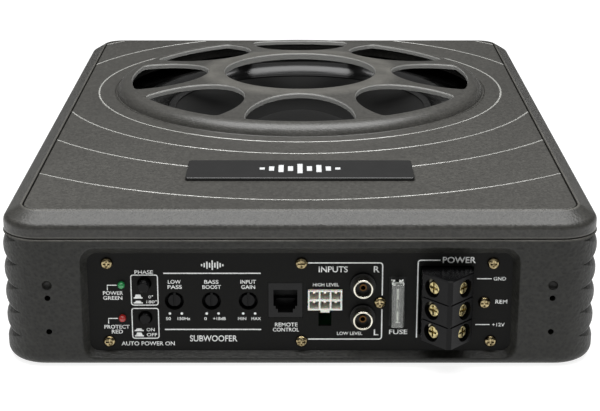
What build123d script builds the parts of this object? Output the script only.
"""Powered under-seat car subwoofer.

A ribbed chassis, a lid frame and a domed grille plate hold a woofer, an amplifier and a recessed control
panel. Millimetres. +X is right and +Y is back, seen from the control panel, which faces -Y. The origin is
the centre of the chassis's underside.
"""

import os
from math import cos, hypot, pi, sin

from build123d import *

os.makedirs("parts", exist_ok=True)

# Housing
WIDTH = 250.0
LENGTH = 340.0
CORNER_R = 18.0
BOTTOM_R = 5.0
WALL = 4.0
FLOOR = 3.0
CHASSIS_TOP = 56.4
GASKET_T = 0.6
PLATE_TOP = 66.7
RIB_PITCH = 10.6
RIB_DEPTH = 1.6
RIB_COUNT = 5
FIRST_RIB_Z = 7.4
TOP_EDGE_R = 0.6
RECESS_Z = 28.2

# Lid frame and grille plate
LID_WIDTH = 248.8
LID_LENGTH = 338.8
LID_CORNER_R = 17.4
LID_SHOULDER_Z = 62.2
RIM_W = 8.2
PLATE_GAP = 0.6
PLATE_T = 2.7
FLANGE_T = 3.0
FLANGE_W = 5.2
DOME_R = 97.5
DOME_EDGE_R = 89.5
DOME_EDGE_RISE = 5.5
DOME_INNER_R = 48.0
DOME_RISE = 9.0
DOME_T = 2.5
EYE_R = 40.2
OPENING_CIRCLE_R = 83.0
OPENING_SIZE = (34.0, 27.0)
OPENING_COUNT = 8
GROOVE_RADII = (107.0, 126.4, 154.9, 195.0)
GROOVE_HALF_W = 0.45
GROOVE_DEPTH = 0.5
BADGE_SIZE = (100.5, 27.0, 1.5)
BADGE_Y = -108.2

# Woofer
WOOFER_Y = 47.0
BAFFLE_Z = 52.0
BAFFLE_T = 2.0
BASKET_R = 104.0
SCREW_CIRCLE_R = 98.5
CONE_R = 70.0
RIM_Z = 56.0
ROLL_R = 79.0
CAP_R = 27.0
FORMER_R = 25.0
POLE_R = 24.2

# Control panel
PANEL_FACE_Y = -166.0
PANEL_T = 1.5
PANEL_Z = 27.5
PANEL_SIZE = (182.0, 46.0)
BOARD_Y = -152.0
BOARD_T = 1.6
LEDGE_T = 4.0
PANEL_SCREWS = tuple((x, dz) for x in (-80.2, 0.6, 80.2) for dz in (17.5, -17.5)) + ((77.0, 0.0),)
RCA_SCREW = (33.4, 0.0)
LED_X = -74.4
LED_DZ = {"led_power": 8.0, "led_protect": -6.9}
BUTTON_X = -64.8
BUTTON_R = 2.35
BUTTONS = {"phase_button": (8.5, 5.0), "auto_power_button": (-6.8, 2.0)}
KNOBS = {"low_pass_knob": -52.5, "bass_boost_knob": -37.0, "gain_knob": -21.6}
KNOB_DZ = 0.6
JACK = (-13.2, 1.0, -6.7, 8.6)
HEADER = (3.3, 17.6, -3.0, 5.8)
RCA_X = 26.2
RCA_DZ = (7.9, -6.1)
RCA_SHELL_R = 4.15
RCA_PROUD = 5.8
FUSE_X = 40.6
FUSE_DZ = 0.3
FUSE_SIZE = (5.1, 12.0, 19.1)
BLOCK_X = 61.0
BLOCK_W = 21.0
BLOCK_DZ = (-14.2, 15.9)
BLOCK_SIDE_Y = PANEL_FACE_Y - 6.8
BLOCK_RIDGE_Y = PANEL_FACE_Y - 17.0
RIDGE_HALF = 1.1
CLAMP_DX = 6.9
CLAMP_DZ = (10.4, 0.5, -9.2)

# Fasteners and brackets
POST_X = 115.0
POST_Y = (-148.0, 0.0, 148.0)
POST_R = 6.0
LID_SCREW_R = 1.9
BRACKET_X = 104.8
BRACKET_Z = (15.9, 30.9)
BRACKET_HOLE_R = 1.25
DIMPLE_Z = 36.6
DIMPLE_R = 2.1

# Amplifier
MAIN_BOARD_Z = 8.0
CAPACITOR_X = (-36, -17, 2, 21)
TRANSISTOR_COUNT = 6
TRANSISTOR_PITCH = 18.0
FIN_COUNT = 9
FIN_PITCH = 13.5

LID_BOTTOM = CHASSIS_TOP + GASKET_T
PLATE_BOTTOM = PLATE_TOP - PLATE_T
FLANGE_BOTTOM = PLATE_BOTTOM - FLANGE_T
BAFFLE_TOP = BAFFLE_Z + BAFFLE_T
PANEL_BACK_Y = PANEL_FACE_Y + PANEL_T
FRONT_Y = -LENGTH / 2
TROUGH_X = WIDTH / 2 - RIB_DEPTH
RIM_INNER = (LID_WIDTH - 2 * RIM_W, LID_LENGTH - 2 * RIM_W)
RIM_INNER_R = LID_CORNER_R - RIM_W
POSTS = [(side * POST_X, y) for side in (-1, 1) for y in POST_Y]
WOOFER_AXIS = Axis((0, WOOFER_Y, 0), (0, 0, 1))


def facing_front(y, x=0.0, z=0.0):
    """The plane at depth y that faces -Y, with local x along X and local y along Z."""
    return Plane(origin=(x, y, z), x_dir=(1, 0, 0), z_dir=(0, -1, 0))


def rod(x, z, radius, y_front, y_back, mode=Mode.ADD):
    """A round bar along Y."""
    with BuildSketch(facing_front(y_back, x, z), mode=Mode.PRIVATE) as section:
        Circle(radius)
    extrude(section.sketch, amount=y_back - y_front, mode=mode)


def column(x, y, radius, z_low, z_high, mode=Mode.ADD):
    """A round bar along Z."""
    with BuildSketch(Plane((x, y, z_low)), mode=Mode.PRIVATE) as section:
        Circle(radius)
    extrude(section.sketch, amount=z_high - z_low, mode=mode)


def block(x_range, y_range, z_range, mode=Mode.ADD):
    """A box between two corners."""
    spans = (x_range, y_range, z_range)
    centre = tuple((low + high) / 2 for low, high in spans)
    with Locations(centre):
        Box(*(high - low for low, high in spans), mode=mode)


def slab(size, radius, z_low, z_high, mode=Mode.ADD):
    """A rounded rectangle in plan, between two heights."""
    with BuildSketch(Plane.XY.offset(z_low), mode=Mode.PRIVATE) as plan:
        RectangleRounded(*size, radius)
    extrude(plan.sketch, amount=z_high - z_low, mode=mode)


def turned(points, mode=Mode.ADD):
    """A closed outline of (radius, height) points turned about the woofer's axis."""
    with BuildSketch(facing_front(WOOFER_Y), mode=Mode.PRIVATE) as outline:
        with BuildLine():
            Polyline(*points, close=True)
        make_face()
    revolve(outline.sketch, axis=WOOFER_AXIS, mode=mode)


def save(builder, name):
    """Label a finished piece and write its STEP file."""
    builder.part.label = name
    export_step(builder.part, f"parts/{name}.step")


def panel_z(dz):
    """Height of a point given from the middle of the control panel."""
    return PANEL_Z + dz


# Chassis: a tray whose long sides carry horizontal convex ribs that fade out round the corners
RIB_LOW_Z = [FIRST_RIB_Z + (i - 0.5) * RIB_PITCH for i in range(1, RIB_COUNT)]
RIB_END_Z = RIB_LOW_Z[-1] + RIB_PITCH
CREST_X = WIDTH / 2 - 0.05
CORNER_Y = LENGTH / 2 - CORNER_R
FADE_R = CORNER_R + 2.6
FADE_ANGLE = 62

with BuildSketch(Plane.XZ) as between_ribs:
    with BuildLine():
        ThreePointArc(
            (WIDTH / 2, FIRST_RIB_Z + 1),
            (CREST_X - RIB_DEPTH * 0.3, FIRST_RIB_Z + 3.2),
            (TROUGH_X, RIB_LOW_Z[0]),
        )
        for low in RIB_LOW_Z:
            high = low + RIB_PITCH
            ThreePointArc((TROUGH_X, low), (CREST_X, (low + high) / 2), (TROUGH_X, high))
        Polyline(
            (TROUGH_X, RIB_END_Z),
            (WIDTH / 2 - 0.2, CHASSIS_TOP + 0.1),
            (WIDTH / 2 + 3, CHASSIS_TOP + 0.1),
            (WIDTH / 2 + 3, FIRST_RIB_Z + 1),
            (WIDTH / 2, FIRST_RIB_Z + 1),
        )
    make_face()

# the hollows run along the sides, then swing inwards on a wider arc than the corners and so fade out
with BuildPart() as rib_hollows:
    extrude(between_ribs.sketch, amount=CORNER_Y, both=True)
    for end in (-1, 1):
        section = Location((0, end * CORNER_Y, 0)) * between_ribs.sketch
        turning_axis = Axis((TROUGH_X - FADE_R, end * CORNER_Y, 0), (0, 0, end))
        revolve(section, axis=turning_axis, revolution_arc=FADE_ANGLE)
    mirror(about=Plane.YZ)


def is_recess_mouth(edge):
    """True for the outer edges of the panel recess, on the front face and the rounding below it."""
    box = edge.bounding_box()
    low, high = box.min, box.max
    on_front = high.Y < FRONT_Y + 1.0
    inside = low.X > -92 and high.X < 92 and high.Z < CHASSIS_TOP - 2 and high.Z > 3
    return on_front and inside


with BuildPart() as chassis:
    slab((WIDTH, LENGTH), CORNER_R, 0, CHASSIS_TOP)
    fillet(chassis.faces().sort_by(Axis.Z)[0].edges(), BOTTOM_R)
    fillet(chassis.faces().sort_by(Axis.Z)[-1].edges(), TOP_EDGE_R)
    add(rib_hollows.part, mode=Mode.SUBTRACT)
    slab((2 * (TROUGH_X - WALL), LENGTH - 2 * WALL), CORNER_R - WALL, FLOOR, CHASSIS_TOP, Mode.SUBTRACT)
    # ledge behind the control panel, with a slot that the panel drops into and a window for its parts
    block((-95, 95), (PANEL_FACE_Y, PANEL_BACK_Y + LEDGE_T), (FLOOR, BAFFLE_Z))
    block((-91.2, 91.2), (PANEL_FACE_Y, PANEL_BACK_Y), (PANEL_Z - 23.1, BAFFLE_Z), Mode.SUBTRACT)
    with BuildSketch(facing_front(PANEL_BACK_Y + LEDGE_T, z=PANEL_Z)):
        with Locations((-2.1, 0)):
            Rectangle(150.2, 32.4)
        with Locations((0.6, 17.5), (0.6, -17.5)):
            RectangleRounded(7.0, 7.0, 2.5, mode=Mode.SUBTRACT)
    extrude(amount=LEDGE_T, mode=Mode.SUBTRACT)
    # bevelled recess in front of the panel
    with BuildSketch(facing_front(FRONT_Y, z=RECESS_Z)):
        RectangleRounded(182.0, 49.6, 6.5)
    with BuildSketch(facing_front(PANEL_FACE_Y, z=27.55)):
        RectangleRounded(176.8, 43.7, 4.0)
    loft(mode=Mode.SUBTRACT)
    mouth = [e for e in chassis.edges() if is_recess_mouth(e)]
    fillet(mouth, 0.9)
    for x, dz in PANEL_SCREWS:
        rod(x, panel_z(dz), 1.27, PANEL_BACK_Y, PANEL_BACK_Y + LEDGE_T, Mode.SUBTRACT)
    # posts that carry the baffle, bored for the long lid screws
    for x, y in POSTS:
        column(x, y, POST_R, FLOOR, BAFFLE_Z)
        column(x, y, 2.1, 0, BAFFLE_Z, Mode.SUBTRACT)
        column(x, y, 4.0, 0, FLOOR + 0.2, Mode.SUBTRACT)
    # stand-offs for the main board
    for x in (-96, 0, 96):
        for y in (-148, -74):
            column(x, y, 3.0, FLOOR, 8.0)
    # tapped bracket holes and a locating dimple at both ends
    for end in (-1, 1):
        for x in (-BRACKET_X, BRACKET_X):
            for z in BRACKET_Z:
                face_y = end * LENGTH / 2
                inner_y = face_y - end * 10.0
                wall_y = face_y - end * WALL
                rod(x, z, 4.0, *sorted((wall_y, inner_y)))
                rod(x, z, BRACKET_HOLE_R, *sorted((face_y, inner_y + end)), mode=Mode.SUBTRACT)
            with Locations((x, face_y + end * 0.3, DIMPLE_Z)):
                Sphere(DIMPLE_R, mode=Mode.SUBTRACT)
save(chassis, "chassis")

with BuildPart() as lid_gasket:
    slab((2 * 122.9, 2 * 168.2), CORNER_R - 2.0, CHASSIS_TOP, LID_BOTTOM)
    slab((2 * 120.8, 2 * 166.2), CORNER_R - 4.0, CHASSIS_TOP, LID_BOTTOM, Mode.SUBTRACT)
save(lid_gasket, "lid_gasket")

# Lid frame: an upright side, a soft shoulder, and a bevel that rises to the grille plate
with BuildPart() as lid_frame:
    slab((LID_WIDTH, LID_LENGTH), LID_CORNER_R, LID_BOTTOM, LID_SHOULDER_Z)
    with BuildSketch(Plane.XY.offset(LID_SHOULDER_Z)):
        RectangleRounded(LID_WIDTH, LID_LENGTH, LID_CORNER_R)
    with BuildSketch(Plane.XY.offset(PLATE_TOP)):
        RectangleRounded(RIM_INNER[0] + 1.2, RIM_INNER[1] + 1.2, RIM_INNER_R + 0.6)
    loft(ruled=True)
    shoulder = [e for e in lid_frame.edges() if abs(e.center().Z - LID_SHOULDER_Z) < 0.01]
    fillet(shoulder, 3.0)
    slab(RIM_INNER, RIM_INNER_R, PLATE_BOTTOM, PLATE_TOP, Mode.SUBTRACT)
    slab(
        (RIM_INNER[0] - 2 * FLANGE_W, RIM_INNER[1] - 2 * FLANGE_W),
        RIM_INNER_R - FLANGE_W + 2,
        LID_BOTTOM,
        PLATE_BOTTOM,
        Mode.SUBTRACT,
    )
    slab((LID_WIDTH - 6.8, LID_LENGTH - 6.8), LID_CORNER_R - 3.4, LID_BOTTOM, FLANGE_BOTTOM, Mode.SUBTRACT)
    for x, y in POSTS:
        column(x, y, 4.5, BAFFLE_TOP, FLANGE_BOTTOM)
        column(x, y, LID_SCREW_R + 0.02, BAFFLE_TOP, FLANGE_BOTTOM + 1.0, Mode.SUBTRACT)
    GRILLE_SCREWS = [(side * (RIM_INNER[0] - FLANGE_W) / 2, y) for side in (-1, 1) for y in (-80, 80)]
    GRILLE_SCREWS += [(x, side * (RIM_INNER[1] - FLANGE_W) / 2) for side in (-1, 1) for x in (-70, 70)]
    for x, y in GRILLE_SCREWS:
        column(x, y, 1.2, FLANGE_BOTTOM, PLATE_BOTTOM, Mode.SUBTRACT)
save(lid_frame, "lid_frame")


def dome_height(radius):
    """Top of the dome between its eye and its shoulder."""
    slope = (DOME_RISE - DOME_EDGE_RISE) / (DOME_EDGE_R - DOME_INNER_R)
    return PLATE_TOP + DOME_EDGE_RISE + (DOME_EDGE_R - radius) * slope


# Grille plate: a flat plate with circular grooves, rising into a dome with one eye and eight openings
with BuildPart() as grille_plate:
    plate_size = tuple(span - 2 * PLATE_GAP for span in RIM_INNER)
    slab(plate_size, RIM_INNER_R - PLATE_GAP, PLATE_BOTTOM, PLATE_TOP)
    fillet(grille_plate.faces().sort_by(Axis.Z)[-1].edges(), 0.6)
    column(0, WOOFER_Y, DOME_R - 2.5, PLATE_BOTTOM, PLATE_TOP, Mode.SUBTRACT)
    with BuildSketch(facing_front(WOOFER_Y)):
        with BuildLine():
            Line((DOME_R + 2, PLATE_BOTTOM), (DOME_R + 2, PLATE_TOP))
            Line((DOME_R + 2, PLATE_TOP), (DOME_R, PLATE_TOP))
            ThreePointArc(
                (DOME_R, PLATE_TOP),
                (DOME_R - 2.4, PLATE_TOP + 3.9),
                (DOME_EDGE_R, PLATE_TOP + DOME_EDGE_RISE),
            )
            Polyline(
                (DOME_EDGE_R, PLATE_TOP + DOME_EDGE_RISE),
                (DOME_INNER_R, PLATE_TOP + DOME_RISE),
                (EYE_R, PLATE_TOP + DOME_RISE + 0.2),
                (EYE_R, PLATE_TOP + DOME_RISE - 3.3),
                (EYE_R + 2.5, PLATE_TOP + DOME_RISE - 3.3),
                (EYE_R + 2.5, PLATE_TOP + DOME_RISE - DOME_T),
                (DOME_INNER_R, PLATE_TOP + DOME_RISE - DOME_T - 0.1),
                (DOME_EDGE_R - 1, PLATE_TOP + DOME_EDGE_RISE - DOME_T),
            )
            ThreePointArc(
                (DOME_EDGE_R - 1, PLATE_TOP + DOME_EDGE_RISE - DOME_T),
                (DOME_R - 4.4, PLATE_TOP + 1.9),
                (DOME_R - 2.9, PLATE_TOP - 1),
            )
            Line((DOME_R - 2.9, PLATE_TOP - 1), (DOME_R - 2.9, PLATE_BOTTOM))
            Line((DOME_R - 2.9, PLATE_BOTTOM), (DOME_R + 2, PLATE_BOTTOM))
        make_face()
    revolve(axis=WOOFER_AXIS)
    with BuildSketch(Plane((0, WOOFER_Y, PLATE_TOP))) as opening_plan:
        with PolarLocations(OPENING_CIRCLE_R, OPENING_COUNT, start_angle=-90):
            Ellipse(*OPENING_SIZE)
        Circle(DOME_EDGE_R, mode=Mode.INTERSECT)
        fillet(opening_plan.vertices(), 3.5)
    extrude(amount=12, mode=Mode.SUBTRACT)
    rims = [
        e
        for e in grille_plate.edges(Select.LAST)
        if abs((e @ 0.5).Z - dome_height(hypot((e @ 0.5).X, (e @ 0.5).Y - WOOFER_Y))) < 0.5
    ]
    fillet(rims, 0.9)
    eye_rim = [e for e in grille_plate.edges() if abs(e.center().Z - PLATE_TOP - DOME_RISE - 0.2) < 0.02]
    fillet(eye_rim, 0.8)
    # circular grooves, and the fine one at the foot of the dome
    for radius in GROOVE_RADII + (DOME_R + 1.0,):
        inner, outer = radius - GROOVE_HALF_W, radius + GROOVE_HALF_W
        mouth_z = PLATE_TOP + 0.01
        turned([(inner, mouth_z), (outer, mouth_z), (radius, PLATE_TOP - GROOVE_DEPTH)], Mode.SUBTRACT)
    for x, y in GRILLE_SCREWS:
        column(x, y, 1.05, PLATE_BOTTOM, PLATE_BOTTOM + 1.9, Mode.SUBTRACT)
save(grille_plate, "grille_plate")

with BuildPart() as badge:
    with BuildSketch(Plane((0, BADGE_Y, PLATE_TOP))):
        RectangleRounded(BADGE_SIZE[0], BADGE_SIZE[1], 1.6)
    extrude(amount=BADGE_SIZE[2])
    fillet(badge.faces().sort_by(Axis.Z)[-1].edges(), 0.5)
save(badge, "badge")

with BuildPart() as lid_screws:
    for x, y in POSTS:
        column(x, y, 3.6, 0.7, FLOOR + 0.2)
        column(x, y, LID_SCREW_R, FLOOR, FLANGE_BOTTOM + 0.5)
        with Locations((x, y, 0.7)):
            Box(4.6, 1.0, 2.4, mode=Mode.SUBTRACT)
            Box(1.0, 4.6, 2.4, mode=Mode.SUBTRACT)
save(lid_screws, "lid_screws")

with BuildPart() as grille_screws:
    for x, y in GRILLE_SCREWS:
        column(x, y, 1.9, FLANGE_BOTTOM - 1.3, FLANGE_BOTTOM)
        column(x, y, 1.0, FLANGE_BOTTOM - 0.1, PLATE_BOTTOM + 1.8)
        with Locations((x, y, FLANGE_BOTTOM - 1.3)):
            Box(2.6, 0.6, 1.2, mode=Mode.SUBTRACT)
            Box(0.6, 2.6, 1.2, mode=Mode.SUBTRACT)
save(grille_screws, "grille_screws")

# Woofer
WOOFER_SCREWS = [
    (SCREW_CIRCLE_R * cos(2 * pi * (i + 0.5) / 8), WOOFER_Y + SCREW_CIRCLE_R * sin(2 * pi * (i + 0.5) / 8))
    for i in range(8)
]

with BuildPart() as baffle_plate:
    slab((2 * 119.2, 2 * 165.4), CORNER_R - WALL - 0.5, BAFFLE_Z, BAFFLE_TOP)
    column(0, WOOFER_Y, 93.5, BAFFLE_Z, BAFFLE_TOP, Mode.SUBTRACT)
    for x, y in POSTS:
        column(x, y, 2.2, BAFFLE_Z, BAFFLE_TOP, Mode.SUBTRACT)
    for x, y in WOOFER_SCREWS:
        column(x, y, 1.52, BAFFLE_Z, BAFFLE_TOP, Mode.SUBTRACT)
save(baffle_plate, "baffle_plate")

BASKET_TOP = BAFFLE_TOP + 1.5
with BuildPart() as basket:
    turned(
        [
            (BASKET_R, BAFFLE_TOP),
            (BASKET_R, BASKET_TOP),
            (91, BASKET_TOP),
            (66, 38),
            (56, 38),
            (54, 31.5),
            (27.4, 31.5),
            (27.4, 30),
            (55.2, 30),
            (57.2, 36.5),
            (66.8, 36.5),
            (92, BAFFLE_TOP),
        ]
    )
    with BuildSketch(Plane((0, WOOFER_Y, 37.0))):
        with PolarLocations(0, 6, start_angle=0):
            with BuildLine():
                for reach in (70.0, 85.0):
                    CenterArc((0, 0), reach, -20, 40)
                Line((70 * cos(pi / 9), -70 * sin(pi / 9)), (85 * cos(pi / 9), -85 * sin(pi / 9)))
                Line((70 * cos(pi / 9), 70 * sin(pi / 9)), (85 * cos(pi / 9), 85 * sin(pi / 9)))
            make_face()
    extrude(amount=15, mode=Mode.SUBTRACT)
    for x, y in WOOFER_SCREWS:
        column(x, y, 1.6, BAFFLE_TOP, BASKET_TOP, Mode.SUBTRACT)
save(basket, "basket")

with BuildPart() as woofer_screws:
    for x, y in WOOFER_SCREWS:
        column(x, y, 3.2, BASKET_TOP, BASKET_TOP + 2.0)
        column(x, y, 1.5, BAFFLE_Z - 2.0, BASKET_TOP)
        with Locations((x, y, BASKET_TOP + 2.0)):
            Box(4.4, 0.8, 2.0, mode=Mode.SUBTRACT)
            Box(0.8, 4.4, 2.0, mode=Mode.SUBTRACT)
save(woofer_screws, "woofer_screws")

with BuildPart() as front_pole_plate:
    turned([(27.2, 25), (52, 25), (52, 30), (27.2, 30)])
save(front_pole_plate, "front_pole_plate")

with BuildPart() as magnet:
    turned([(30, 12), (58, 12), (58, 25), (30, 25)])
    fillet(magnet.edges().filter_by(GeomType.CIRCLE).group_by(SortBy.RADIUS)[-1], 1.0)
save(magnet, "magnet")

with BuildPart() as yoke:
    turned([(6, 5.5), (52, 5.5), (54, 7.5), (54, 12), (POLE_R, 12), (POLE_R, 30), (6, 30)])
save(yoke, "yoke")

with BuildPart() as voice_coil:
    turned([(FORMER_R, 18.5), (25.3, 18.5), (25.3, 42), (FORMER_R, 42)])
    turned([(25.3, 21), (26.2, 21), (26.2, 34), (25.3, 34)])
save(voice_coil, "voice_coil")

# Spider: a corrugated disc glued to the basket's ledge, clear of the coil and the cone by a running gap
SPIDER_T = 0.8
SPIDER_WAVE = [(27 + 3 * i, 37.2 if i % 2 else 35.8) for i in range(1, 9)]
SPIDER_UNDER = [(26.6, 36.2)] + SPIDER_WAVE + [(55, 38.0), (65, 38.0)]
with BuildPart() as spider:
    turned(SPIDER_UNDER + [(r, z + SPIDER_T) for r, z in reversed(SPIDER_UNDER)])
save(spider, "spider")

# Cone, with a collar on the former and a turned rim that carries the surround's inner lip
with BuildPart() as cone:
    turned(
        [
            (25.31, 40),
            (26.1, 40),
            (26.5, 41.5),
            (CONE_R - 3, RIM_Z - 1),
            (CONE_R - 1.2, RIM_Z - 1),
            (CONE_R - 1.2, RIM_Z),
            (CONE_R - 3.3, RIM_Z),
            (26.0, 42.8),
            (25.31, 42.2),
        ]
    )
save(cone, "cone")

CAP_ARC = [(CAP_R * i / 8, 51.6 - 7.6 * (i / 8) ** 2) for i in range(9)]
CAP_TOP = [(r + 0.3, z + 0.7) for r, z in reversed(CAP_ARC)]
with BuildPart() as dust_cap:
    turned(CAP_ARC + [(CAP_R + 1.6, 44.3)] + CAP_TOP + [(0, 52.3)])
save(dust_cap, "dust_cap")

with BuildPart() as surround_lip:
    turned(
        [
            (CONE_R - 3.2, RIM_Z),
            (CONE_R - 1.1, RIM_Z),
            (CONE_R - 1.1, RIM_Z - 2),
            (CONE_R + 0.4, RIM_Z - 4),
            (CONE_R + 0.4, RIM_Z + 1.2),
            (CONE_R - 0.6, RIM_Z + 1.2),
            (CONE_R - 3.2, RIM_Z + 0.6),
        ]
    )
save(surround_lip, "surround_lip")

# Surround roll: a rubber half roll glued to the basket, with a skirt that the lip slides along
with BuildPart() as surround_roll:
    with BuildSketch(facing_front(WOOFER_Y)):
        with BuildLine():
            Line((CONE_R + 0.7, RIM_Z - 4.5), (CONE_R + 0.7, RIM_Z + 1.0))
            ThreePointArc((CONE_R + 0.7, RIM_Z + 1.0), (ROLL_R, 62.2), (87.5, BASKET_TOP + 1.0))
            Line((87.5, BASKET_TOP + 1.0), (96, BASKET_TOP + 1.0))
            Line((96, BASKET_TOP + 1.0), (96, BASKET_TOP + 0.02))
            Line((96, BASKET_TOP + 0.02), (86.6, BASKET_TOP + 0.02))
            ThreePointArc((86.6, BASKET_TOP + 0.02), (ROLL_R, 61.2), (CONE_R + 1.7, RIM_Z + 1.0))
            Line((CONE_R + 1.7, RIM_Z + 1.0), (CONE_R + 1.7, RIM_Z - 4.5))
            Line((CONE_R + 1.7, RIM_Z - 4.5), (CONE_R + 0.7, RIM_Z - 4.5))
        make_face()
    revolve(axis=WOOFER_AXIS)
    for x, y in WOOFER_SCREWS:
        column(x, y, 3.4, BASKET_TOP, BASKET_TOP + 1.5, Mode.SUBTRACT)
save(surround_roll, "surround_roll")

# Control panel and what it carries
BLOCK_HOLE_DZ = ((BLOCK_DZ[0] + BLOCK_DZ[1]) / 2, BLOCK_DZ[1] - BLOCK_DZ[0] + 0.6)
with BuildPart() as control_panel:
    with BuildSketch(facing_front(PANEL_BACK_Y, z=PANEL_Z)):
        Rectangle(*PANEL_SIZE)
        with Locations(*PANEL_SCREWS, RCA_SCREW):
            Circle(1.5, mode=Mode.SUBTRACT)
        with Locations(*[(LED_X, dz) for dz in LED_DZ.values()]):
            Circle(1.55, mode=Mode.SUBTRACT)
        with Locations(*[(BUTTON_X, dz) for dz, _ in BUTTONS.values()]):
            Circle(BUTTON_R + 0.65, mode=Mode.SUBTRACT)
        with Locations(*[(x, KNOB_DZ) for x in KNOBS.values()]):
            Circle(4.0, mode=Mode.SUBTRACT)
        with Locations(((JACK[0] + JACK[1]) / 2, (JACK[2] + JACK[3]) / 2)):
            Rectangle(JACK[1] - JACK[0] + 0.3, JACK[3] - JACK[2] + 0.3, mode=Mode.SUBTRACT)
        with Locations(((HEADER[0] + HEADER[1]) / 2, (HEADER[2] + HEADER[3]) / 2)):
            Rectangle(HEADER[1] - HEADER[0] + 0.3, HEADER[3] - HEADER[2] + 0.3, mode=Mode.SUBTRACT)
        with Locations(((HEADER[0] + HEADER[1]) / 2, HEADER[2] - 3.7)):
            Rectangle(5.4, 7.8, mode=Mode.SUBTRACT)
        with Locations(*[(RCA_X, dz) for dz in RCA_DZ]):
            Circle(5.4, mode=Mode.SUBTRACT)
        with Locations((FUSE_X, FUSE_DZ)):
            Rectangle(6.7, 22.3, mode=Mode.SUBTRACT)
        with Locations((BLOCK_X, BLOCK_HOLE_DZ[0])):
            Rectangle(22.5, BLOCK_HOLE_DZ[1], mode=Mode.SUBTRACT)
    extrude(amount=PANEL_T)
save(control_panel, "control_panel")

with BuildPart() as panel_screws:
    for x, dz in PANEL_SCREWS + (RCA_SCREW,):
        with BuildSketch(facing_front(PANEL_FACE_Y, x, panel_z(dz)), mode=Mode.PRIVATE) as head:
            Circle(2.6)
        extrude(head.sketch, amount=1.5)
        rod(x, panel_z(dz), 1.25, PANEL_FACE_Y, PANEL_BACK_Y + LEDGE_T)
    fillet(panel_screws.edges().group_by(Axis.Y)[0], 1.35)
    for x, dz in PANEL_SCREWS + (RCA_SCREW,):
        with Locations((x, PANEL_FACE_Y - 1.5, panel_z(dz))):
            Box(2.9, 2.0, 0.7, mode=Mode.SUBTRACT)
            Box(0.7, 2.0, 2.9, mode=Mode.SUBTRACT)
save(panel_screws, "panel_screws")

for led_name, led_dz in LED_DZ.items():
    with BuildPart() as led:
        rod(LED_X, panel_z(led_dz), 1.5, PANEL_FACE_Y - 1.0, PANEL_BACK_Y)
        rod(LED_X, panel_z(led_dz), 1.9, PANEL_BACK_Y, PANEL_BACK_Y + 1.2)
        with Locations((LED_X, PANEL_FACE_Y - 1.0, panel_z(led_dz))):
            Sphere(1.5)
        rod(LED_X, panel_z(led_dz), 1.5, PANEL_BACK_Y, BOARD_Y)
    save(led, led_name)

with BuildPart() as switch_bodies:
    for dz, _ in BUTTONS.values():
        z = panel_z(dz)
        block((BUTTON_X - 3.5, BUTTON_X + 3.5), (-160.3, BOARD_Y), (z - 3.5, z + 3.5))
        rod(BUTTON_X, z, 1.5, -160.3, -152.4, Mode.SUBTRACT)
save(switch_bodies, "switch_bodies")

for button_name, (dz, proud) in BUTTONS.items():
    with BuildPart() as button:
        tip_y = PANEL_FACE_Y - proud
        rod(BUTTON_X, panel_z(dz), BUTTON_R, tip_y, tip_y + 7.0)
        fillet(button.faces().sort_by(Axis.Y)[0].edges(), 0.6)
        rod(BUTTON_X, panel_z(dz), 1.4, tip_y + 7.0, tip_y + 14.8)
    save(button, button_name)

with BuildPart() as pot_bodies:
    for x in KNOBS.values():
        z = panel_z(KNOB_DZ)
        block((x - 4.75, x + 4.75), (-160.3, BOARD_Y), (z - 5.5, z + 5.5))
        rod(x, z, 3.08, -160.3, -155.4, Mode.SUBTRACT)
save(pot_bodies, "pot_bodies")

for knob_name, x in KNOBS.items():
    with BuildPart() as knob:
        rod(x, panel_z(KNOB_DZ), 3.0, PANEL_FACE_Y + 0.8, -155.6)
        chamfer(knob.faces().sort_by(Axis.Y)[0].edges(), 0.4)
        with Locations((x, PANEL_FACE_Y + 0.8, panel_z(KNOB_DZ))):
            Box(1.0, 2.4, 7.0, mode=Mode.SUBTRACT)
    save(knob, knob_name)

# Six-way modular jack, with a stepped mouth for the plug and its latch: half width, back, bottom and top
JACK_X = (JACK[0] + JACK[1]) / 2
JACK_STEPS = ((5.0, -154.5, -1.6, 5.6), (4.1, -157.0, -3.0, -1.6), (3.15, -157.0, -4.6, -1.6))
with BuildPart() as remote_jack:
    block(JACK[:2], (PANEL_FACE_Y, BOARD_Y), (panel_z(JACK[2]), panel_z(JACK[3])))
    for half, back_y, low, high in JACK_STEPS:
        x_range = (JACK_X - half, JACK_X + half)
        block(x_range, (PANEL_FACE_Y, back_y), (panel_z(low), panel_z(high)), Mode.SUBTRACT)
save(remote_jack, "remote_jack")

with BuildPart() as remote_jack_contacts:
    for i in range(6):
        with BuildSketch(Plane.YZ.offset(JACK_X + (i - 2.5) * 1.25)):
            with BuildLine():
                Polyline(
                    (-163.0, panel_z(5.5)),
                    (-162.6, panel_z(5.5)),
                    (-157.0, panel_z(2.2)),
                    (-154.5, panel_z(2.2)),
                    (-154.5, panel_z(1.8)),
                    (-157.1, panel_z(1.8)),
                    (-163.0, panel_z(5.1)),
                    close=True,
                )
            make_face()
        extrude(amount=0.2, both=True)
save(remote_jack_contacts, "remote_jack_contacts")

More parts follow.
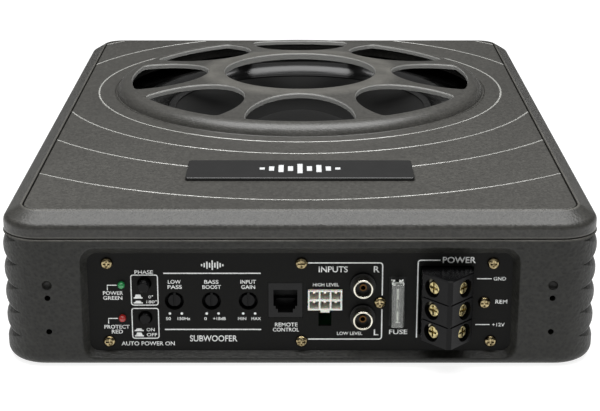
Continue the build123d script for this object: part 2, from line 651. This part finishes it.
# Six-way header: two rows of three cavities with a pin in each
HEADER_X = (HEADER[0] + HEADER[1]) / 2
HEADER_DZ = (HEADER[2] + HEADER[3]) / 2
HEADER_FLOOR_Y = -160.0
PIN_HALF = 0.5
HEADER_WAYS = [
    (HEADER_X + 4.55 * column_index, panel_z(HEADER_DZ + 4.2 * row_index))
    for column_index in (-1, 0, 1)
    for row_index in (-0.5, 0.5)
]
with BuildPart() as high_level_header:
    block(HEADER[:2], (PANEL_FACE_Y - 1.5, BOARD_Y), (panel_z(HEADER[2]), panel_z(HEADER[3])))
    block((HEADER_X - 1.9, HEADER_X + 1.9), (PANEL_FACE_Y - 0.5, -156), (panel_z(-4.4), panel_z(HEADER[2])))
    for x, z in HEADER_WAYS:
        block((x - 1.9, x + 1.9), (PANEL_FACE_Y - 1.5, HEADER_FLOOR_Y), (z - 1.7, z + 1.7), Mode.SUBTRACT)
        bore = PIN_HALF + 0.05
        block((x - bore, x + bore), (HEADER_FLOOR_Y, BOARD_Y), (z - bore, z + bore), Mode.SUBTRACT)
save(high_level_header, "high_level_header")

with BuildPart() as header_pins:
    for x, z in HEADER_WAYS:
        block((x - PIN_HALF, x + PIN_HALF), (-163.8, BOARD_Y), (z - PIN_HALF, z + PIN_HALF))
save(header_pins, "header_pins")

# Phono sockets: a moulded body with two bosses, plated shells and centre contacts
with BuildPart() as rca_housing:
    block((20.0, 36.6), (PANEL_BACK_Y, BOARD_Y), (panel_z(-12.4), panel_z(13.6)))
    for dz in RCA_DZ:
        rod(RCA_X, panel_z(dz), 5.3, PANEL_FACE_Y - 1.4, PANEL_BACK_Y)
    for dz in RCA_DZ:
        rod(RCA_X, panel_z(dz), RCA_SHELL_R + 0.02, PANEL_FACE_Y - 1.4, -158, Mode.SUBTRACT)
        rod(RCA_X, panel_z(dz), 3.25, PANEL_FACE_Y - 2.5, -158)
        rod(RCA_X, panel_z(dz), 1.52, PANEL_FACE_Y - 2.5, BOARD_Y, Mode.SUBTRACT)
    screw_end_y = PANEL_BACK_Y + LEDGE_T + 0.5
    rod(RCA_SCREW[0], panel_z(RCA_SCREW[1]), 1.27, PANEL_BACK_Y, screw_end_y, Mode.SUBTRACT)
save(rca_housing, "rca_housing")

with BuildPart() as rca_shells:
    for dz in RCA_DZ:
        rod(RCA_X, panel_z(dz), RCA_SHELL_R, PANEL_FACE_Y - RCA_PROUD, -158)
        rod(RCA_X, panel_z(dz), 3.3, PANEL_FACE_Y - RCA_PROUD, -158, Mode.SUBTRACT)
    fillet(rca_shells.faces().group_by(Axis.Y)[0].edges(), 0.4)
save(rca_shells, "rca_shells")

with BuildPart() as rca_contacts:
    for dz in RCA_DZ:
        rod(RCA_X, panel_z(dz), 1.5, PANEL_FACE_Y - 3.5, BOARD_Y)
        rod(RCA_X, panel_z(dz), 1.0, PANEL_FACE_Y - 3.5, -160, Mode.SUBTRACT)
save(rca_contacts, "rca_contacts")

# Blade fuse in its holder
FUSE_TIP_Y = PANEL_FACE_Y - 6.0
FUSE_BACK_Y = FUSE_TIP_Y + FUSE_SIZE[1]
FUSE_Z = (panel_z(FUSE_DZ) - FUSE_SIZE[2] / 2, panel_z(FUSE_DZ) + FUSE_SIZE[2] / 2)


def about_fuse(half):
    """An X range centred on the fuse."""
    return (FUSE_X - half, FUSE_X + half)


with BuildPart() as fuse_body:
    block(about_fuse(FUSE_SIZE[0] / 2), (FUSE_TIP_Y, FUSE_BACK_Y), FUSE_Z)
    for notch_z in ((FUSE_Z[0] - 1, FUSE_Z[0] + 1.2), (FUSE_Z[1] - 1.2, FUSE_Z[1] + 1)):
        block(about_fuse(1.8), (FUSE_TIP_Y + 3.5, FUSE_BACK_Y), notch_z, Mode.SUBTRACT)
    fillet(fuse_body.edges().group_by(Axis.Y)[0], 0.7)
    pocket_z = (FUSE_Z[0] + 1.9, FUSE_Z[1] - 1.9)
    block(about_fuse(0.9), (FUSE_TIP_Y + 1.4, FUSE_BACK_Y), pocket_z, Mode.SUBTRACT)
save(fuse_body, "fuse_body")

with BuildPart() as fuse_element:
    with BuildSketch(Plane.YZ.offset(FUSE_X)):
        with BuildLine():
            Polyline(
                (-153.4, panel_z(-7.2)),
                (-169.5, panel_z(-7.0)),
                (-169.5, panel_z(-2.6)),
                (-166.0, panel_z(-2.2)),
                (-163.6, panel_z(-0.2)),
                (-166.4, panel_z(2.0)),
                (-169.5, panel_z(2.8)),
                (-169.5, panel_z(7.6)),
                (-153.4, panel_z(7.8)),
                (-153.4, panel_z(3.8)),
                (-162.6, panel_z(3.8)),
                (-165.0, panel_z(3.0)),
                (-161.8, panel_z(0.2)),
                (-164.2, panel_z(-3.4)),
                (-162.6, panel_z(-3.4)),
                (-153.4, panel_z(-3.2)),
                close=True,
            )
        make_face()
    extrude(amount=0.35, both=True)
save(fuse_element, "fuse_element")

with BuildPart() as fuse_holder:
    holder_z = (panel_z(FUSE_DZ - 11.1), panel_z(FUSE_DZ + 11.1))
    block(about_fuse(3.3), (PANEL_FACE_Y + 0.3, BOARD_Y), holder_z)
    pocket_z = (FUSE_Z[0] - 0.2, FUSE_Z[1] + 0.2)
    block(about_fuse(2.7), (PANEL_FACE_Y + 0.3, FUSE_BACK_Y + 0.4), pocket_z, Mode.SUBTRACT)
    for dz in (-5.8, 6.4):
        blade_z = (panel_z(dz - 3.2), panel_z(dz + 3.2))
        block(about_fuse(0.5), (FUSE_BACK_Y, BOARD_Y - 0.6), blade_z, Mode.SUBTRACT)
save(fuse_holder, "fuse_holder")

# Terminal block: a prow whose two sloping faces carry three screw wells each, square to the faces. Wires
# enter through its sides and are clamped onto V-shaped bars. Depths are measured square to a face.
BLOCK_X_RANGE = (BLOCK_X - BLOCK_W / 2, BLOCK_X + BLOCK_W / 2)
BLOCK_Z = tuple(panel_z(dz) for dz in BLOCK_DZ)
FACE_RUN = (BLOCK_W / 2 - RIDGE_HALF, BLOCK_SIDE_Y - BLOCK_RIDGE_Y)
FACE_SLOPE = FACE_RUN[1] / FACE_RUN[0]
FACE_NORMAL = (FACE_RUN[1] / hypot(*FACE_RUN), -FACE_RUN[0] / hypot(*FACE_RUN))
CLAMP_Y = BLOCK_RIDGE_Y + (CLAMP_DX - RIDGE_HALF) * FACE_SLOPE
CLAMPS = [(side, panel_z(dz)) for dz in CLAMP_DZ for side in (-1, 1)]
WELL_R = 3.9
HEAD_DEPTH = (1.0, 3.0)
WASHER_DEPTH = (3.05, 3.75)
CHAMBER_DEPTH = (2.2, 4.9)
BAR_DEPTH = (4.9, 6.3)
BAR_HALF_H = 2.5
SHANK_END = 6.4
STEM_HALF = 0.4


def clamp_plane(side, z, depth):
    """The plane at a depth below one face of the block, centred on a screw and facing outwards."""
    normal = (side * FACE_NORMAL[0], FACE_NORMAL[1], 0)
    centre = (BLOCK_X + side * CLAMP_DX, CLAMP_Y, z)
    return Plane(origin=centre, x_dir=(0, 0, 1), z_dir=normal).offset(-depth)


def tilted_rod(side, z, radius, shallow, deep, mode=Mode.ADD):
    """A round bar square to a face of the block, between two depths."""
    with BuildSketch(clamp_plane(side, z, deep), mode=Mode.PRIVATE) as section:
        Circle(radius)
    extrude(section.sketch, amount=deep - shallow, mode=mode)


def tilted_box(side, z, size, shallow, deep, mode=Mode.ADD):
    """A box square to a face, between two depths, with its size given up the face and along it."""
    with Locations(clamp_plane(side, z, (shallow + deep) / 2)):
        Box(*size, deep - shallow, mode=mode)


def chevron(depths, half, z_range, mode=Mode.ADD):
    """A V-shaped strip that follows both faces between two depths, out to half on each side."""
    apex_y = BLOCK_RIDGE_Y - RIDGE_HALF * FACE_SLOPE
    near_y, far_y = (apex_y - depth / FACE_NORMAL[1] for depth in depths)
    rise = half * FACE_SLOPE
    left, right = BLOCK_X - half, BLOCK_X + half
    with BuildSketch(Plane.XY.offset(z_range[0]), mode=Mode.PRIVATE) as plan:
        with BuildLine():
            Polyline(
                (left, near_y + rise),
                (BLOCK_X, near_y),
                (right, near_y + rise),
                (right, far_y + rise),
                (BLOCK_X, far_y),
                (left, far_y + rise),
                close=True,
            )
        make_face()
    extrude(plan.sketch, amount=z_range[1] - z_range[0], mode=mode)


def bar_with_stem(z, grow, mode=Mode.ADD):
    """A V-shaped bar and the stem that takes it back to the board, made larger all round by grow."""
    z_range = (z - BAR_HALF_H - grow, z + BAR_HALF_H + grow)
    chevron((BAR_DEPTH[0], BAR_DEPTH[1] + grow), BLOCK_W / 2 - 1.7 + grow, z_range, mode)
    stem_x = (BLOCK_X - STEM_HALF - grow, BLOCK_X + STEM_HALF + grow)
    block(stem_x, (BLOCK_RIDGE_Y + BAR_DEPTH[1] + 1, BOARD_Y), z_range, mode)


with BuildPart() as terminal_block:
    with BuildSketch(Plane.XY.offset(BLOCK_Z[0])):
        with BuildLine():
            Polyline(
                (BLOCK_X_RANGE[0], BOARD_Y),
                (BLOCK_X_RANGE[0], BLOCK_SIDE_Y),
                (BLOCK_X - RIDGE_HALF, BLOCK_RIDGE_Y),
                (BLOCK_X + RIDGE_HALF, BLOCK_RIDGE_Y),
                (BLOCK_X_RANGE[1], BLOCK_SIDE_Y),
                (BLOCK_X_RANGE[1], BOARD_Y),
                close=True,
            )
        make_face()
    extrude(amount=BLOCK_Z[1] - BLOCK_Z[0])
    chamfer([e for e in terminal_block.edges().group_by(Axis.Z)[-1] if e.center().Y < BLOCK_SIDE_Y], 0.5)
    for low_row, high_row in zip(CLAMP_DZ[1:], CLAMP_DZ):
        groove_z = panel_z((low_row + high_row) / 2)
        chevron((-1.0, 0.5), BLOCK_W / 2 + 1, (groove_z - 0.45, groove_z + 0.45), Mode.SUBTRACT)
    for side, z in CLAMPS:
        tilted_rod(side, z, WELL_R, -2.0, CHAMBER_DEPTH[0], Mode.SUBTRACT)
        tilted_box(side, z, (6.4, 7.2), *CHAMBER_DEPTH, Mode.SUBTRACT)
        tilted_rod(side, z, 1.8, BAR_DEPTH[0], BAR_DEPTH[1] + 1.5, Mode.SUBTRACT)
        entry_x = sorted((BLOCK_X + side * 5.9, BLOCK_X + side * BLOCK_W / 2))
        block(entry_x, (BLOCK_SIDE_Y + 0.4, BLOCK_SIDE_Y + 3.9), (z - 2.2, z + 2.2), Mode.SUBTRACT)
    for dz in CLAMP_DZ:
        bar_with_stem(panel_z(dz), 0.06, Mode.SUBTRACT)
save(terminal_block, "terminal_block")

with BuildPart() as terminal_bars:
    for dz in CLAMP_DZ:
        bar_with_stem(panel_z(dz), 0.0)
    for side, z in CLAMPS:
        tilted_rod(side, z, 1.55, BAR_DEPTH[0] - 0.5, BAR_DEPTH[1] + 0.5, Mode.SUBTRACT)
save(terminal_bars, "terminal_bars")

for number, (side, z) in enumerate(CLAMPS, start=1):
    with BuildPart() as washer:
        with BuildSketch(clamp_plane(side, z, WASHER_DEPTH[1])):
            RectangleRounded(6.0, 6.6, 0.8)
            Circle(1.56, mode=Mode.SUBTRACT)
        extrude(amount=WASHER_DEPTH[1] - WASHER_DEPTH[0])
    save(washer, f"clamp_washer_{number}")

    with BuildPart() as clamp_screw:
        tilted_rod(side, z, 3.1, *HEAD_DEPTH)
        outward = Axis((0, 0, 0), (side * FACE_NORMAL[0], FACE_NORMAL[1], 0))
        fillet(clamp_screw.faces().sort_by(outward)[-1].edges(), 0.9)
        tilted_rod(side, z, 1.46, HEAD_DEPTH[1], SHANK_END)
        tilted_box(side, z, (4.2, 0.9), HEAD_DEPTH[0] - 1, HEAD_DEPTH[0] + 1.1, Mode.SUBTRACT)
        tilted_box(side, z, (0.9, 4.2), HEAD_DEPTH[0] - 1, HEAD_DEPTH[0] + 1.1, Mode.SUBTRACT)
    save(clamp_screw, f"clamp_screw_{number}")

# Amplifier: two boards, and the larger parts on them
PART_Z = MAIN_BOARD_Z + BOARD_T
with BuildPart() as main_board:
    block((-104, 104), (-156, -66), (MAIN_BOARD_Z, PART_Z))
save(main_board, "main_board")

with BuildPart() as control_board:
    block((-84, 84), (BOARD_Y, BOARD_Y + BOARD_T), (PART_Z, 47.0))
save(control_board, "control_board")

with BuildPart() as power_transformer:
    column(58, -108, 21.0, PART_Z, PART_Z + 17)
    column(58, -108, 5.0, PART_Z, PART_Z + 17, Mode.SUBTRACT)
    fillet(power_transformer.edges().filter_by(GeomType.CIRCLE), 4.0)
save(power_transformer, "power_transformer")

with BuildPart() as capacitors:
    for x in CAPACITOR_X:
        column(x, -126, 8.0, PART_Z, PART_Z + 25)
    fillet(capacitors.faces().group_by(Axis.Z)[-1].edges(), 0.8)
save(capacitors, "capacitors")

with BuildPart() as heat_spreader:
    block((-100, 20), (-72, -68), (PART_Z, 40))
    block((-100, 20), (-84, -68), (36.5, 40))
    for i in range(FIN_COUNT):
        fin_x = -97 + FIN_PITCH * i
        block((fin_x - 1, fin_x + 1), (-68, -62), (PART_Z + 2, 40))
save(heat_spreader, "heat_spreader")

with BuildPart() as power_transistors:
    for i in range(TRANSISTOR_COUNT):
        middle_x = -89 + TRANSISTOR_PITCH * i
        block((middle_x - 5, middle_x + 5), (-76.5, -72), (PART_Z + 6, PART_Z + 21))
        for lead_x in (middle_x - 2.5, middle_x, middle_x + 2.5):
            block((lead_x - 0.4, lead_x + 0.4), (-74.7, -74.0), (PART_Z, PART_Z + 6))
save(power_transistors, "power_transistors")
